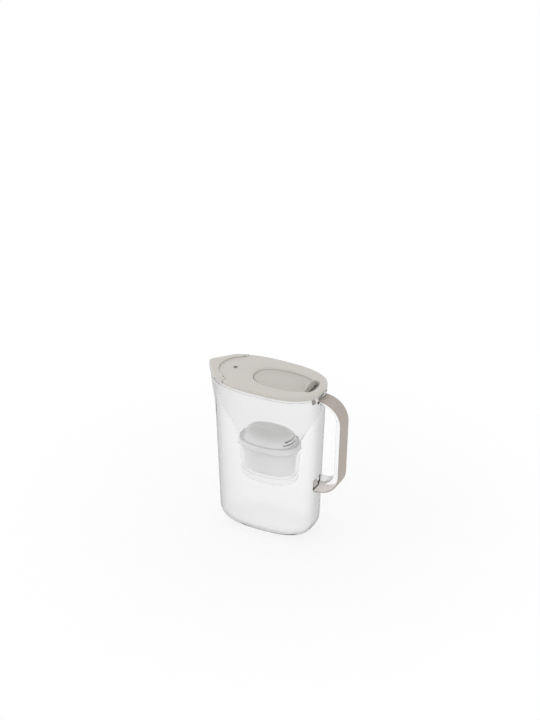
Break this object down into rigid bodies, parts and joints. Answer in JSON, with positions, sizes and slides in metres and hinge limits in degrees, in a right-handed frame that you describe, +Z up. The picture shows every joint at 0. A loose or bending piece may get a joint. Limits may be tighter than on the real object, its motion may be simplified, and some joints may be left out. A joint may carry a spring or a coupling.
{
  "type": "water filter pitcher",
  "caption": "Oval clear pitcher with looped handle and pour spout, hanging funnel, white filter cartridge, lid with flip fill flap, spout visor and light indicator.",
  "frame": {"origin": "centre of the jug's oval base, on the table plane", "axes": "+Z up, -X towards the pour spout, +X towards the handle, +Y to the side"},
  "size_m": [0.2247, 0.101, 0.262],
  "materials": {
    "clear_plastic": "clear moulded plastic, gloss",
    "soft_touch": "soft-touch band, matte warm grey",
    "stone_plastic": "fine satin, warm stone grey",
    "white_plastic": "satin white",
    "mesh_plastic": "moulded sieve, matte",
    "carbon_granules": "black granules among white beads",
    "smoked_lens": "smoked translucent",
    "seal_rubber": "black, matte",
    "circuit_board": "green laminate",
    "led_body": "clear resin over a white body",
    "spring_steel": "thin bright spring sheet",
    "cell_steel": "bright coin cell",
    "contact_brass": "bright strip"
  },
  "bodies": {
    "jug": {"jug": "clear_plastic", "handle_grip": "soft_touch"},
    "funnel": {"funnel": "clear_plastic"},
    "cartridge": {"cartridge_body": "white_plastic", "cartridge_cap": "white_plastic", "cartridge_media": "carbon_granules", "inlet_screen": "mesh_plastic", "outlet_screen": "mesh_plastic"},
    "lid": {"lid": "stone_plastic", "led_window": "smoked_lens"},
    "fill_flap": {"fill_flap": "stone_plastic"},
    "spout_visor": {"spout_visor": "stone_plastic"},
    "indicator": {"indicator_housing": "white_plastic", "indicator_base": "white_plastic", "indicator_seal": "seal_rubber", "indicator_board": "circuit_board", "status_led": "led_body", "snap_dome": "spring_steel", "indicator_battery": "cell_steel", "battery_contact": "contact_brass"},
    "reset_button": {"indicator_button": "smoked_lens"}
  },
  "joints": [
    {"name": "funnel_lift", "type": "slide", "parent": "jug", "child": "funnel", "axis": [0, 0, 1], "range_m": [0, 0.108]},
    {"name": "cartridge_lift", "type": "slide", "parent": "funnel", "child": "cartridge", "axis": [0, 0, 1], "range_m": [0, 0.158]},
    {"name": "lid_lift", "type": "slide", "parent": "cartridge", "child": "lid", "axis": [0, 0, 1], "range_m": [0, 0.06]},
    {"name": "fill_flap_hinge", "type": "hinge", "parent": "lid", "child": "fill_flap", "pos_m": [0.0651, 0, 0.2505], "axis": [0, -1, 0], "range_deg": [-80, 0]},
    {"name": "spout_visor_hinge", "type": "hinge", "parent": "lid", "child": "spout_visor", "pos_m": [-0.058, 0, 0.254], "axis": [0, -1, 0], "range_deg": [-45, 0]},
    {"name": "indicator_release", "type": "slide", "parent": "lid", "child": "indicator", "axis": [0, 0, -1], "range_m": [0, 0.025]},
    {"name": "reset_button_press", "type": "slide", "parent": "indicator", "child": "reset_button", "axis": [0, 0, -1], "range_m": [0, 0.0008], "stiffness_N_per_m": 600}
  ]
}
